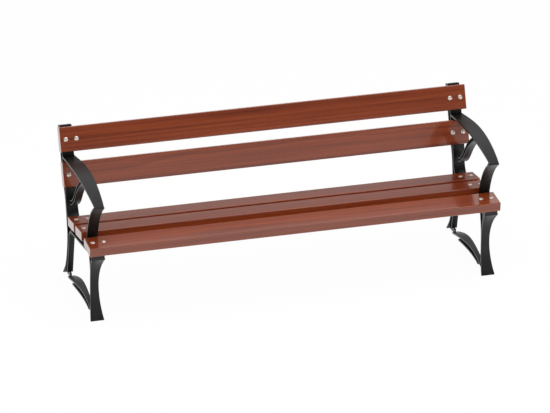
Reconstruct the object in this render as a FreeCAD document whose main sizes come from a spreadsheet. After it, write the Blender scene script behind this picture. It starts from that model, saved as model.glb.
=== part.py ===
import FreeCAD, Part
import math
import os

import Sketcher
from FreeCAD import Placement, Rotation, Vector

# Garden bench: two cast end frames, three seat slats, two back slats and their bolts.
# X runs along the bench, +Y points to the back and +Z up. The origin is on the floor,
# below the middle of the bench. Millimetres and degrees throughout.

SIZES = {
    # slats
    "slat_length": 2000.0,
    "slat_width": 119.0,
    "slat_thickness": 44.0,
    "slat_edge_radius": 3.5,
    # how the slats lie, from the top front edge of the middle seat slat
    "seat_height": 403.5,
    "seat_tilt": 6.7,
    "seat_gap": 30.0,
    "support_gap": 51.0,
    "front_slat_drop": 5.8,
    "front_slat_tilt": 4.7,
    "back_setback": 51.5,
    "back_rise": 126.5,
    "back_tilt": 18.4,
    "back_gap": 47.5,
    # bolts, washers and nuts
    "bolt_end_margin": 27.5,
    "bolt_spacing": 51.0,
    "shank_diameter": 9.8,
    "head_diameter": 22.5,
    "head_height": 5.6,
    "neck_side": 9.9,
    "neck_depth": 6.0,
    "hole_clearance": 0.7,
    "washer_diameter": 19.0,
    "washer_thickness": 2.0,
    "nut_across_flats": 16.0,
    "nut_height": 8.0,
    "thread_clearance": 0.2,
    "bolt_end_proud": 4.0,
    # the cast I-section
    "frame_inset": 42.0,
    "web_thickness": 8.0,
    "flange_thickness": 8.0,
    "bead_width": 18.0,
    "trim_allowance": 2.0,
    "lug_length": 56.0,
    "lug_edge_margin": 14.0,
    # upright and seat rail
    "upright_width": 57.0,
    "upright_depth": 40.0,
    "upright_top_margin": 7.0,
    "upright_neck_reach": 77.0,
    "upright_neck_rise": 8.0,
    "upright_hollow": 8.0,
    "rail_depth": 58.0,
    "rail_width": 30.0,
    "rail_corner_radius": 50.0,
    # front leg
    "brow_setback": 13.0,
    "brow_drop": 66.0,
    "brow_width": 66.0,
    "block_width": 62.0,
    "waist_setback": 96.5,
    "waist_height": 150.0,
    "waist_depth": 42.0,
    "waist_width": 40.5,
    "toe_setback": 44.5,
    "toe_width": 66.0,
    "front_sole_length": 112.0,
    # rear leg
    "rear_leg_width": 27.0,
    "rear_leg_setback": 132.0,
    "rear_leg_straight_height": 240.0,
    "rear_leg_front_foot": 140.0,
    "rear_leg_slope": 13.4,
    "heel_reach": 76.0,
    "heel_width": 39.0,
    "heel_flare_height": 46.0,
    "ledge_reach": 16.0,
    "ledge_height": 24.0,
    # arch between the feet
    "arch_start_height": 11.0,
    "arch_shoulder_reach": 60.0,
    "arch_shoulder_rise": 18.0,
    "arch_crown_height": 53.0,
    "arch_end_height": 22.0,
    "arch_depth": 30.0,
    "arch_wide": 46.0,
    "arch_narrow": 26.0,
    "arch_lower_length": 262.0,
    "arch_lower_drop": 2.5,
    # armrest and its support
    "arm_root_position": 146.0,
    "arm_crest_height": 652.0,
    "arm_width": 71.0,
    "arm_depth": 20.0,
    "arm_slat_clearance": 2.0,
    "nose_reach": 16.0,
    "nose_height": 604.0,
    "nose_width": 44.0,
    "nose_lip": 13.0,
    "support_width": 52.0,
    "support_depth": 31.0,
    "support_slat_clearance": 3.5,
    "support_lean": 12.0,
    # scroll bracket under the arm
    "scroll_width": 35.0,
    "scroll_depth": 21.0,
    "scroll_end_gap": 28.0,
    "scroll_end_height": 423.0,
}

doc = FreeCAD.newDocument("GardenBench")
sheet = doc.addObject("Spreadsheet::Sheet", "Sizes")
for row, (alias, number) in enumerate(SIZES.items(), start=1):
    sheet.set(f"A{row}", alias)
    sheet.set(f"B{row}", str(number))
    sheet.setAlias(f"B{row}", alias)
doc.recompute()


def size(alias):
    """The value of a named cell of the sheet."""
    return float(sheet.get(alias))


def bind(thing, **expressions):
    """Ties properties of an object to expressions on the sheet's cells."""
    for name, expression in expressions.items():
        thing.setExpression(name, expression)


# ------------------------------------------------------------------ side-view geometry
# A point of the side view is a vector (y, z, 0): the coordinates of a sketch on YZ.


def point(y, z):
    return Vector(y, z, 0)


def heading(angle):
    """A unit vector in the side view, at an angle in degrees from +Y towards +Z."""
    return point(math.cos(math.radians(angle)), math.sin(math.radians(angle)))


UP = point(0, 1)
DOWN = point(0, -1)


class SlatLine:
    """A straight row of slat faces in the side view.

    It starts at an outer edge of the first slat, runs along the outer faces, and its
    second direction goes through the slats to the casting behind or below them.
    """

    def __init__(self, start, run, through):
        self.start = start
        self.run = run
        self.through = through

    def at(self, along, deep=0.0):
        return self.start + self.run * along + self.through * deep


WIDTH = size("slat_width")
THICK = size("slat_thickness")
FLANGE = size("flange_thickness")

seat = SlatLine(point(0, size("seat_height")),
                heading(-size("seat_tilt")), heading(-90 - size("seat_tilt")))
front = SlatLine(seat.start + point(-size("support_gap"), -size("front_slat_drop")),
                 heading(180 + size("front_slat_tilt")), heading(-90 + size("front_slat_tilt")))
seat_rear = 2 * WIDTH + size("seat_gap")
back = SlatLine(seat.at(seat_rear) + point(size("back_setback"), size("back_rise")),
                heading(90 - size("back_tilt")), heading(-size("back_tilt")))
back_length = 2 * WIDTH + size("back_gap")
upright_top = back_length + size("upright_top_margin")
upright_rear = THICK + size("upright_depth")

# slat name: the line it lies on, its place along the line, and its turn about X
SLATS = {
    "front_seat_slat": (front, WIDTH / 2, size("front_slat_tilt")),
    "middle_seat_slat": (seat, WIDTH / 2, -size("seat_tilt")),
    "rear_seat_slat": (seat, 1.5 * WIDTH + size("seat_gap"), -size("seat_tilt")),
    "lower_back_slat": (back, WIDTH / 2, 90 - size("back_tilt")),
    "upper_back_slat": (back, 1.5 * WIDTH + size("back_gap"), 90 - size("back_tilt")),
}

# characteristic points of the end frame
slat_nose = front.at(WIDTH)
block_reach = WIDTH - size("brow_setback") / math.cos(math.radians(size("front_slat_tilt")))
block_top = front.at(block_reach, THICK)
brow = slat_nose + point(size("brow_setback"), -size("brow_drop"))
waist = point(slat_nose.x + size("waist_setback"), size("waist_height"))
waist_back = waist + point(size("waist_depth"), 0)
toe = point(slat_nose.x + size("toe_setback"), 0)
front_sole_end = toe + point(size("front_sole_length"), 0)
rail_front = seat.at(10, THICK + size("rail_depth"))
upright_neck = seat.at(seat_rear) + point(size("upright_neck_reach"), size("upright_neck_rise"))
rear_leg_top = point(seat.at(seat_rear).x + size("rear_leg_setback"),
                     size("rear_leg_straight_height"))
heel = point(rear_leg_top.x + size("heel_reach"), 0)
ledge_back = point(seat.at(seat_rear).x + size("rear_leg_front_foot"), size("ledge_height"))
ledge_front = ledge_back - point(size("ledge_reach"), 0)
arch_start = point(ledge_front.x, size("arch_start_height"))
arch_end = point(front_sole_end.x - size("arch_depth") / 2, size("arch_end_height"))
arch_shoulder = arch_start + point(-size("arch_shoulder_reach"), size("arch_shoulder_rise"))
arch_crown = point((arch_start.x * 0.42 + arch_end.x * 0.58), size("arch_crown_height"))
arch_under = arch_crown - point(0, size("arch_depth"))
arm_root = back.at(size("arm_root_position"), THICK)
nose = point(slat_nose.x - size("nose_reach"), size("nose_height"))
arm_crest = point((arm_root.x + nose.x) / 2, size("arm_crest_height"))
lip = nose + point(2, -size("nose_lip"))
support_course = heading(-90 + size("support_lean"))
support_foot = front.at(0, THICK) + point(
    size("support_slat_clearance") + THICK * math.tan(math.radians(size("support_lean"))), 0)
support_foot_back = support_foot + point(size("support_depth"), 0)

# the side view is drawn from the front edge of the middle seat slat, and the bodies are
# placed so that Y = 0 is halfway between the arm's nose and the rearmost point
rearmost = max(back.at(upright_top, upright_rear).x, heel.x)
CENTRE_Y = (nose.x + rearmost) / 2


def line(start, end):
    return Part.LineSegment(start, end)


def arc_middle(start, course, end):
    """The middle of the circular arc that leaves start along a course and runs to end."""
    chord = end - start
    along = Vector(chord).normalize()
    aside = (course - along * course.dot(along)).normalize()
    turn = math.acos(course.dot(along))
    return (start + end) / 2 + aside * (chord.Length / 2 * math.tan(turn / 2))


def arc_leaving(start, course, end):
    """The arc that leaves start along a course and runs to end."""
    return Part.Arc(start, arc_middle(start, course, end), end)


def arc_reaching(start, end, course):
    """The arc that runs from start and reaches end along a course."""
    return Part.Arc(start, arc_middle(end, course * -1, start), end)


def spline(points, leaving=None, arriving=None):
    """A smooth curve through points, with its end courses where they are given."""
    curve = Part.BSplineCurve()
    if leaving is None:
        curve.interpolate(Points=points)
    else:
        reach = (points[-1] - points[0]).Length
        curve.interpolate(Points=points, InitialTangent=leaving * reach, FinalTangent=arriving * reach)
    return curve


def first_end(curve):
    return curve.value(curve.FirstParameter)


def last_end(curve):
    return curve.value(curve.LastParameter)


def beside(curve, distance, stations=9):
    """A copy of a curve, moved to its left by a distance, or to its right if negative."""
    first, last = curve.FirstParameter, curve.LastParameter
    moved = []
    for station in range(stations):
        at = first + (last - first) * station / (stations - 1)
        course = curve.tangent(at)[0]
        moved.append(curve.value(at) + point(-course.y, course.x) * distance)
    if isinstance(curve, Part.LineSegment):
        return line(moved[0], moved[-1])
    return spline(moved)


def band(curve, thickness, before=0.0, after=0.0):
    """The closed outline of a flange: a curve, and its copy to the left or right.

    Before and after are how far the flange runs on straight past the curve's two ends.
    """
    inner = beside(curve, thickness)
    outline = [curve, inner]
    for end, parameter, run_on in ((first_end, curve.FirstParameter, -before),
                                   (last_end, curve.LastParameter, after)):
        step = curve.tangent(parameter)[0] * run_on
        if run_on:
            outline += [line(side_end, side_end + step) for side_end in (end(curve), end(inner))]
        outline.append(line(end(curve) + step, end(inner) + step))
    return outline


def chain_band(curves, thickness):
    """The outline of one flange along several curves, mitred where straight runs meet."""
    inner = [beside(curve, thickness) for curve in curves]
    for before in range(len(inner) - 1):
        run, next_run = inner[before], inner[before + 1]
        if (last_end(run) - first_end(next_run)).Length > 1e-3:
            corner = meeting(first_end(run), last_end(run) - first_end(run),
                             first_end(next_run), last_end(next_run) - first_end(next_run))
            inner[before] = line(first_end(run), corner)
            inner[before + 1] = line(corner, last_end(next_run))
    return curves + inner + [line(first_end(curves[0]), first_end(inner[0])),
                             line(last_end(curves[-1]), last_end(inner[-1]))]


def loop(*curves):
    """A closed outline: curves in order, with straight lines across the gaps."""
    closed = []
    for curve, following in zip(curves, curves[1:] + curves[:1]):
        closed.append(curve)
        if (first_end(following) - last_end(curve)).Length > 1e-6:
            closed.append(line(last_end(curve), first_end(following)))
    return closed


def meeting(start, course, other_start, other_course):
    """Where two straight lines of the side view cross."""
    across = course.x * other_course.y - course.y * other_course.x
    between = other_start - start
    return start + course * ((between.x * other_course.y - between.y * other_course.x) / across)


# ------------------------------------------------------------------ outlines of the frame
front_leg_upper = arc_reaching(brow, waist, DOWN)
front_leg_lower = arc_leaving(waist, DOWN, toe)
leg_back_upper = arc_reaching(rail_front, waist_back, DOWN)
leg_back_lower = arc_leaving(waist_back, DOWN, arch_end)

leg_course = heading(90 + size("rear_leg_slope"))
rail_corner = meeting(rail_front, seat.run, ledge_back, leg_course)
half_turn = math.acos(-seat.run.dot(leg_course)) / 2
corner_reach = size("rail_corner_radius") * math.tan(half_turn)
rail_end = rail_corner - seat.run * corner_reach
leg_start = rail_corner - leg_course * corner_reach
rail_under = line(rail_front, rail_end)
rail_fillet = arc_leaving(rail_end, seat.run, leg_start)
rear_leg_front = line(leg_start, ledge_back)

seat_end = seat.at(seat_rear, THICK)
upright_curve = spline([seat_end, upright_neck, back.at(0, THICK)], seat.run, back.run)
upright_face = line(back.at(0, THICK), back.at(upright_top, THICK))
upright_back = line(back.at(upright_top, upright_rear), back.at(0, upright_rear))
hollow = point(rear_leg_top.x - size("upright_hollow"),
               (rear_leg_top.y + back.at(0, upright_rear).y) / 2 + 30)
rear_curve = spline([back.at(0, upright_rear), hollow, rear_leg_top], back.run * -1, DOWN)
heel_curve = arc_leaving(rear_leg_top, DOWN, heel)

arch_top = spline([arch_start, arch_shoulder, arch_crown, arch_end])
arch_below = spline([point(ledge_front.x, 0), arch_under, front_sole_end])

arm_top = spline([arm_root, arm_crest, nose], heading(172), heading(199))
arm_slat_corner = back.at(WIDTH + size("arm_slat_clearance"), -size("arm_slat_clearance"))
arm_below_start = point(arm_slat_corner.x - 40, arm_slat_corner.y + 4)
arm_root_low = back.at(WIDTH + size("arm_slat_clearance"), THICK)
arm_under_crest = arm_crest - point(0, size("arm_depth"))
nose_inside = lip + point(size("support_depth") + 18, 4)
arm_below = spline([arm_below_start, arm_under_crest, nose_inside], heading(165), heading(215))
support_face = spline([lip, support_foot], heading(-32), support_course)
support_back = spline([nose_inside, support_foot_back], heading(-50), support_course)
lower_start = arch_start.x - 121
lower_stop = lower_start - size("arch_lower_length")

scroll_start = point(arm_crest.x - 45, arm_crest.y - size("arm_depth") - 2)
scroll_end = point(upright_neck.x - size("scroll_end_gap"), size("scroll_end_height"))
scroll_line = spline([scroll_start, (scroll_start * 0.45 + scroll_end * 0.55), scroll_end],
                     heading(-28), heading(-12))
scroll_upper = beside(scroll_line, size("scroll_depth") / 2)
scroll_lower = beside(scroll_line, -size("scroll_depth") / 2)


# ------------------------------------------------------------------ document helpers
def origin_plane(body, role):
    """One of a body's own origin planes, such as XY_Plane."""
    return next(part for part in body.Origin.OriginFeatures if part.Role == role)


def new_body(label):
    body = doc.addObject("PartDesign::Body", label)
    body.Label = label
    return body


def new_sketch(body, name, role, curves, offset=None):
    """A sketch on one of the body's own planes, holding a list of curves."""
    sketch = body.newObject("Sketcher::SketchObject", name)
    sketch.AttachmentSupport = [(origin_plane(body, role), "")]
    sketch.MapMode = "FlatFace"
    if offset is not None:
        sketch.AttachmentOffset = offset
    for curve in curves:
        if isinstance(curve, Part.ArcOfCircle) and curve.Axis.z < 0:
            middle = curve.value((curve.FirstParameter + curve.LastParameter) / 2)
            curve = Part.Arc(last_end(curve), middle, first_end(curve))
        sketch.addGeometry(curve)
    return sketch


def rectangle(low_x, low_y, high_x, high_y):
    """Four lines: low side, right, high side, left."""
    corners = [Vector(low_x, low_y, 0), Vector(high_x, low_y, 0),
               Vector(high_x, high_y, 0), Vector(low_x, high_y, 0)]
    return [line(corners[side], corners[(side + 1) % 4]) for side in range(4)]


def pad_across(body, name, curves, width):
    """Pads a side-view outline equally to both sides, to a width from the sheet."""
    sketch = new_sketch(body, name + "_outline", "YZ_Plane", curves)
    feature = body.newObject("PartDesign::Pad", name)
    feature.Profile = sketch
    feature.SideType = "Symmetric"
    bind(feature, Length=width)
    doc.recompute()
    return feature


def cut(body, name, role, curves, offset, depth):
    """Pockets an outline and makes sure that it took something away."""
    before = body.Shape.Volume
    sketch = new_sketch(body, name + "_outline", role, curves, offset)
    feature = body.newObject("PartDesign::Pocket", name)
    feature.Profile = sketch
    feature.Length = depth
    doc.recompute()
    if not body.Shape.Volume < before - 1:
        raise RuntimeError(f"{name} removes nothing")
    return feature


def straight_sides(stations, outer):
    """Two regions beyond a half width that changes in straight runs."""
    curves = []
    for side in (1, -1):
        edge = [Vector(side * half_width, place, 0) for half_width, place in stations]
        corners = edge + [Vector(side * outer, edge[-1].y, 0), Vector(side * outer, edge[0].y, 0)]
        curves += [line(start, end) for start, end in zip(corners, corners[1:] + corners[:1])]
    return curves


def both_sides(stations, outer):
    """Two regions beyond a half width that changes along the second sketch axis.

    Stations are pairs of half width and place; outer is how far out the regions reach.
    """
    curves = []
    for side in (1, -1):
        edge = spline([Vector(side * half, place, 0) for half, place in stations])
        low, high = first_end(edge), last_end(edge)
        far_low, far_high = Vector(side * outer, low.y, 0), Vector(side * outer, high.y, 0)
        curves += [edge, line(low, far_low), line(far_low, far_high), line(far_high, high)]
    return curves


# ------------------------------------------------------------------ end frame
# The frame's own X runs from the middle of its web towards the middle of the bench.
frame = new_body("left_end_frame")

outside = loop(
    arc_reaching(toe, waist, UP),
    arc_leaving(waist, UP, brow),
    line(brow, block_top),
    line(block_top, front.at(0, THICK)),
    line(front.at(0, THICK), seat.at(0, THICK)),
    line(seat.at(0, THICK), seat_end),
    upright_curve,
    upright_face,
    line(back.at(upright_top, THICK), back.at(upright_top, upright_rear)),
    upright_back,
    rear_curve,
    heel_curve,
    line(heel, point(ledge_front.x, 0)),
    arch_below,
    line(front_sole_end, toe),
)
leg_window = loop(
    rail_under,
    rail_fillet,
    rear_leg_front,
    line(ledge_back, point(ledge_front.x, ledge_back.y)),
    line(point(ledge_front.x, ledge_back.y), arch_start),
    arch_top,
    arc_reaching(arch_end, waist_back, UP),
    arc_leaving(waist_back, UP, rail_front),
)
pad_across(frame, "web", outside + leg_window, "Sizes.web_thickness")

arm_outline = loop(
    arm_top,
    line(nose, lip),
    support_face,
    line(support_foot, support_foot_back),
    spline([support_foot_back, nose_inside], support_course * -1, heading(130)),
    spline([nose_inside, arm_under_crest, arm_below_start], heading(35), heading(-15)),
    line(arm_below_start, arm_slat_corner),
    line(arm_slat_corner, arm_root_low),
)
pad_across(frame, "arm_web", arm_outline, "Sizes.web_thickness")
scroll_outline = [scroll_upper, scroll_lower,
                  line(first_end(scroll_upper), first_end(scroll_lower)),
                  line(last_end(scroll_upper), last_end(scroll_lower))]
pad_across(frame, "scroll_web", scroll_outline, "Sizes.web_thickness")

# Flanges, member by member: side-view outline and width.
# The width of some changes along the member, so those are trimmed from both sides.
FAR = 60.0
half = {name: size(name) / 2 for name in ("toe_width", "waist_width", "brow_width", "heel_width",
                                          "rear_leg_width", "upright_width", "arm_width",
                                          "nose_width", "arch_wide", "arch_narrow")}


def pad_flanges(flanges):
    """Pads each named flange of a member."""
    for name, (outline, width) in flanges.items():
        pad_across(frame, name, outline, width)


pad_flanges({
    "front_leg_upper_flange": (band(front_leg_upper, FLANGE), "Sizes.brow_width + Sizes.trim_allowance"),
    "front_leg_lower_flange": (band(front_leg_lower, FLANGE), "Sizes.toe_width + Sizes.trim_allowance"),
})
leg_front_y = toe.x - 60
cut(frame, "front_leg_waist", "XZ_Plane",
    both_sides([(half["toe_width"], -3), (half["waist_width"], waist.y - 10),
                (half["brow_width"], brow.y + 5)], FAR),
    Placement(Vector(0, 0, -leg_front_y), Rotation()), waist_back.x - 12 - leg_front_y)

pad_flanges({
    "heel_flange": (band(heel_curve, -FLANGE), "Sizes.heel_width + Sizes.trim_allowance"),
})
heel_front_y = rear_leg_top.x - 2 * FLANGE
cut(frame, "rear_leg_taper", "XZ_Plane",
    straight_sides([(half["heel_width"], -1), (half["rear_leg_width"], size("heel_flare_height")),
                    (half["rear_leg_width"], rear_leg_top.y + 5)], FAR),
    Placement(Vector(0, 0, -heel_front_y), Rotation()), heel.x + 5 - heel_front_y)

pad_flanges({
    "rear_flange": (band(rear_curve, -FLANGE), "Sizes.upright_width + Sizes.trim_allowance"),
})
rear_front_y = hollow.x - 3 * FLANGE
cut(frame, "rear_taper", "XZ_Plane",
    both_sides([(half["rear_leg_width"], rear_leg_top.y - 2), (half["rear_leg_width"] + 3, rail_front.y),
                (half["upright_width"], back.at(0, upright_rear).y + 5)], FAR),
    Placement(Vector(0, 0, -rear_front_y), Rotation()), back.at(0, upright_rear).x + 5 - rear_front_y)

# the arch is a leaf, its upper and lower flanges waisted alike
arch_lower = spline([arch_below.value(arch_below.parameter(point(place, 0)))
                     - point(0, size("arch_lower_drop"))
                     for place in (lower_start, (lower_start + lower_stop) / 2, lower_stop)])
pad_flanges({
    "arch_flange": (band(arch_top, FLANGE, after=FLANGE), "Sizes.arch_wide + Sizes.trim_allowance"),
    "arch_lower_flange": (band(arch_lower, -FLANGE), "Sizes.arch_wide + Sizes.trim_allowance"),
})
arch_top_z = arch_crown.y + 15
cut(frame, "arch_leaf", "XY_Plane",
    both_sides([(half["arch_narrow"], arch_end.x - 2 * FLANGE), (half["arch_narrow"] + 3.5, arch_crown.x),
                (half["arch_wide"], arch_shoulder.x - 30),
                (half["rear_leg_width"], arch_start.x + 10)], FAR),
    Placement(Vector(0, 0, arch_top_z), Rotation()), arch_top_z + 1)

pad_flanges({
    "arm_flange": (band(arm_top, FLANGE), "Sizes.arm_width + Sizes.trim_allowance"),
    "nose_flange": (band(line(nose, lip), FLANGE), "Sizes.nose_width + Sizes.trim_allowance"),
})
arm_top_z = arm_crest.y + 20
cut(frame, "arm_leaf", "XY_Plane",
    both_sides([(half["nose_width"], nose.x - 5), (half["arm_width"], arm_crest.x + 66),
                (half["upright_width"], arm_root.x + 12)], FAR),
    Placement(Vector(0, 0, arm_top_z), Rotation()), arm_top_z - lip.y + 1)

# one flange carries the seat slats, turns up the upright and goes over its top
seat_to_upright = [
    line(block_top, front.at(0, THICK)),
    line(front.at(0, THICK), seat.at(0, THICK)),
    line(seat.at(0, THICK), seat_end),
    upright_curve,
    upright_face,
    line(back.at(upright_top, THICK), back.at(upright_top, upright_rear)),
    upright_back,
]
pad_across(frame, "seat_and_upright_flange", chain_band(seat_to_upright, -FLANGE), "Sizes.upright_width")

pad_flanges({
    "front_leg_upper_bead": (band(leg_back_upper, -FLANGE, before=FLANGE), "Sizes.bead_width"),
    "front_leg_lower_bead": (band(leg_back_lower, -FLANGE, after=FLANGE), "Sizes.bead_width"),
    "front_block_flange": (band(line(brow, block_top), -FLANGE), "Sizes.block_width"),
    "rail_flange": (band(rail_under, FLANGE), "Sizes.rail_width"),
    "rail_corner_flange": (band(rail_fillet, FLANGE), "Sizes.rail_width"),
    "rear_leg_flange": (band(rear_leg_front, FLANGE), "Sizes.rear_leg_width"),
    "support_flange": (band(support_face, FLANGE), "Sizes.support_width"),
    "support_bead": (band(support_back, -FLANGE, before=FLANGE), "Sizes.bead_width"),
    "arm_bead": (band(arm_below, -FLANGE, after=FLANGE), "Sizes.bead_width"),
    "scroll_upper_flange": (band(scroll_upper, -FLANGE / 2), "Sizes.scroll_width"),
    "scroll_lower_flange": (band(scroll_lower, FLANGE / 2), "Sizes.scroll_width"),
})

# both feet are ground level with the floor
ground = rectangle(toe.x - FAR, -FAR, heel.x + FAR, 0)
sole_sketch = new_sketch(frame, "ground_outline", "YZ_Plane", ground)
sole_cut = frame.newObject("PartDesign::Pocket", "ground")
sole_cut.Profile = sole_sketch
sole_cut.Midplane = True
sole_cut.Length = 2 * FAR
doc.recompute()

# a lug behind each slat, wide enough for both of its bolts
hole_radius = (size("shank_diameter") + size("hole_clearance")) / 2
HOLE_RADIUS = "(Sizes.shank_diameter + Sizes.hole_clearance) / 2"
bolt_inside = size("bolt_end_margin") + size("bolt_spacing") - size("frame_inset")
for slat_name, (row_of_slats, place, turn) in SLATS.items():
    reach = size("lug_length") / 2
    near, far = row_of_slats.at(place - reach, THICK), row_of_slats.at(place + reach, THICK)
    side = -FLANGE if row_of_slats is not front else FLANGE
    sketch = new_sketch(frame, slat_name + "_lug_outline", "YZ_Plane", band(line(near, far), side))
    lug = frame.newObject("PartDesign::Pad", slat_name + "_lug")
    lug.Profile = sketch
    lug.SideType = "Two sides"
    bind(lug, Length="Sizes.bolt_end_margin + Sizes.bolt_spacing + Sizes.lug_edge_margin"
                     " - Sizes.frame_inset",
         Length2="Sizes.upright_width / 2")
    doc.recompute()
for slat_name, (row_of_slats, place, turn) in SLATS.items():
    centre = row_of_slats.at(place, THICK)
    holes = [Part.Circle(Vector(x, 0, 0), Vector(0, 0, 1), hole_radius)
             for x in (bolt_inside, bolt_inside - size("bolt_spacing"))]
    cut(frame, slat_name + "_lug_holes", "XY_Plane", holes,
        Placement(Vector(0, centre.x, centre.y), Rotation(Vector(1, 0, 0), turn)), FLANGE + 1)

frame.Placement.Base = Vector(0, -CENTRE_Y, 0)
bind(frame, **{".Placement.Base.x": "-Sizes.slat_length / 2 + Sizes.frame_inset"})

right_frame = doc.addObject("Part::Mirroring", "right_end_frame")
right_frame.Label = "right_end_frame"
right_frame.Source = frame
right_frame.Base = Vector(0, 0, 0)
right_frame.Normal = Vector(1, 0, 0)
nodes = [frame, right_frame]


# ------------------------------------------------------------------ slats and fasteners
# A slat's own frame: X along it, Y across its width, and the bolt-head face at Z = 0.
def place_on_slat(body, slat_name):
    """Puts a body that was made in a slat's own frame where that slat lies."""
    row_of_slats, place, turn = SLATS[slat_name]
    centre = row_of_slats.at(place)
    body.Placement = Placement(Vector(0, centre.x - CENTRE_Y, centre.y), Rotation(Vector(1, 0, 0), turn))


def repeat_at_bolts(body, features):
    """Repeats features made at the inner bolt of the right end at all four bolts."""
    row_of_two = body.newObject("PartDesign::LinearPattern", body.Label + "_pair")
    row_of_two.Direction = (origin_plane(body, "YZ_Plane"), [""])
    row_of_two.Occurrences = 2
    bind(row_of_two, Length="Sizes.bolt_spacing")
    mirrored = body.newObject("PartDesign::Mirrored", body.Label + "_ends")
    mirrored.MirrorPlane = (origin_plane(body, "YZ_Plane"), [""])
    pattern = body.newObject("PartDesign::MultiTransform", body.Label + "_pattern")
    pattern.Originals = features
    pattern.Transformations = [row_of_two, mirrored]
    body.Tip = pattern


inner_bolt = size("slat_length") / 2 - size("bolt_end_margin") - size("bolt_spacing")
INNER_BOLT = "Sizes.slat_length / 2 - Sizes.bolt_end_margin - Sizes.bolt_spacing"


def circle_at_bolt(sketch, radius, radius_cell):
    """A circle at the inner bolt, its radius and place tied to the sheet."""
    circle = sketch.addGeometry(Part.Circle(Vector(inner_bolt, 0, 0), Vector(0, 0, 1), radius))
    sketch.addConstraint(Sketcher.Constraint("PointOnObject", circle, 3, -1))
    place = sketch.addConstraint(Sketcher.Constraint("DistanceX", -1, 1, circle, 3, inner_bolt))
    sketch.setExpression(f"Constraints[{place}]", INNER_BOLT)
    spread = sketch.addConstraint(Sketcher.Constraint("Radius", circle, radius))
    sketch.setExpression(f"Constraints[{spread}]", radius_cell)


def feature_of(body, kind, name, sketch, downward, **sizes):
    """A pad or pocket of a sketch, with its sizes tied to the sheet."""
    feature = body.newObject("PartDesign::" + kind, name)
    feature.Profile = sketch
    feature.Reversed = downward
    bind(feature, **sizes)
    doc.recompute()
    return feature


def make_slat(slat_name):
    """A plank with eased long edges and a hole with a square socket for each bolt."""
    slat = new_body(slat_name)
    section = new_sketch(slat, slat_name + "_section", "YZ_Plane",
                         rectangle(-WIDTH / 2, -THICK, WIDTH / 2, 0))
    for a, b in ((0, 1), (1, 2), (2, 3), (3, 0)):
        section.addConstraint(Sketcher.Constraint("Coincident", a, 2, b, 1))
    for side, rule in enumerate(("Horizontal", "Vertical", "Horizontal", "Vertical")):
        section.addConstraint(Sketcher.Constraint(rule, side))
    section.addConstraint(Sketcher.Constraint("Symmetric", 2, 1, 2, 2, -1, 1))
    across = section.addConstraint(Sketcher.Constraint("DistanceX", 0, 1, 0, 2, WIDTH))
    section.setExpression(f"Constraints[{across}]", "Sizes.slat_width")
    through = section.addConstraint(Sketcher.Constraint("DistanceY", 1, 1, 1, 2, THICK))
    section.setExpression(f"Constraints[{through}]", "Sizes.slat_thickness")
    plank = slat.newObject("PartDesign::Pad", slat_name + "_plank")
    plank.Profile = section
    plank.SideType = "Symmetric"
    bind(plank, Length="Sizes.slat_length")
    doc.recompute()

    long_edges = [f"Edge{number}" for number, edge in enumerate(plank.Shape.Edges, start=1)
                  if edge.Length > size("slat_length") / 2]
    eased = slat.newObject("PartDesign::Fillet", slat_name + "_eased_edges")
    eased.Base = (plank, long_edges)
    bind(eased, Radius="Sizes.slat_edge_radius")
    doc.recompute()

    hole_sketch = new_sketch(slat, slat_name + "_hole_outline", "XY_Plane", [])
    circle_at_bolt(hole_sketch, hole_radius, HOLE_RADIUS)
    hole = feature_of(slat, "Pocket", slat_name + "_hole", hole_sketch, False,
                      Length="Sizes.slat_thickness + 1")
    socket_half = (size("neck_side") + size("hole_clearance")) / 2
    socket_sketch = new_sketch(slat, slat_name + "_socket_outline", "XY_Plane",
                               rectangle(inner_bolt - socket_half, -socket_half,
                                         inner_bolt + socket_half, socket_half))
    socket = feature_of(slat, "Pocket", slat_name + "_socket", socket_sketch, False,
                        Length="Sizes.neck_depth + Sizes.hole_clearance / 2")
    repeat_at_bolts(slat, [hole, socket])
    place_on_slat(slat, slat_name)
    return slat


def make_bolts(slat_name):
    """Four dome-head bolts with square necks."""
    bolts = new_body(slat_name + "_bolts")
    head, height = size("head_diameter") / 2, size("head_height")
    shank = size("shank_diameter") / 2
    tip = -(THICK + FLANGE + size("washer_thickness") + size("nut_height") + size("bolt_end_proud"))
    crown = Vector(inner_bolt, height, 0)
    rim = Vector(inner_bolt + head, 0, 0)
    dome_radius = (head * head + height * height) / (2 * height)
    half_angle = math.asin(head / dome_radius) / 2
    dome_middle = Vector(inner_bolt + dome_radius * math.sin(half_angle),
                         height - dome_radius * (1 - math.cos(half_angle)), 0)
    neck_end, tip_side = Vector(inner_bolt + shank, 0, 0), Vector(inner_bolt + shank, tip, 0)
    tip_middle = Vector(inner_bolt, tip, 0)
    profile = new_sketch(bolts, slat_name + "_bolt_profile", "XZ_Plane", [
        Part.Arc(rim, dome_middle, crown), line(crown, tip_middle), line(tip_middle, tip_side),
        line(tip_side, neck_end), line(neck_end, rim)])
    profile.addGeometry(line(tip_middle, crown), True)
    turned = bolts.newObject("PartDesign::Revolution", slat_name + "_bolt_turned")
    turned.Profile = profile
    turned.ReferenceAxis = (profile, ["Axis0"])
    turned.Angle = 360
    doc.recompute()
    reach = size("neck_side") / 2
    neck_sketch = new_sketch(bolts, slat_name + "_neck_outline", "XY_Plane",
                             rectangle(inner_bolt - reach, -reach, inner_bolt + reach, reach))
    neck = feature_of(bolts, "Pad", slat_name + "_neck", neck_sketch, True, Length="Sizes.neck_depth")
    repeat_at_bolts(bolts, [turned, neck])
    place_on_slat(bolts, slat_name)
    return bolts


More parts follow.
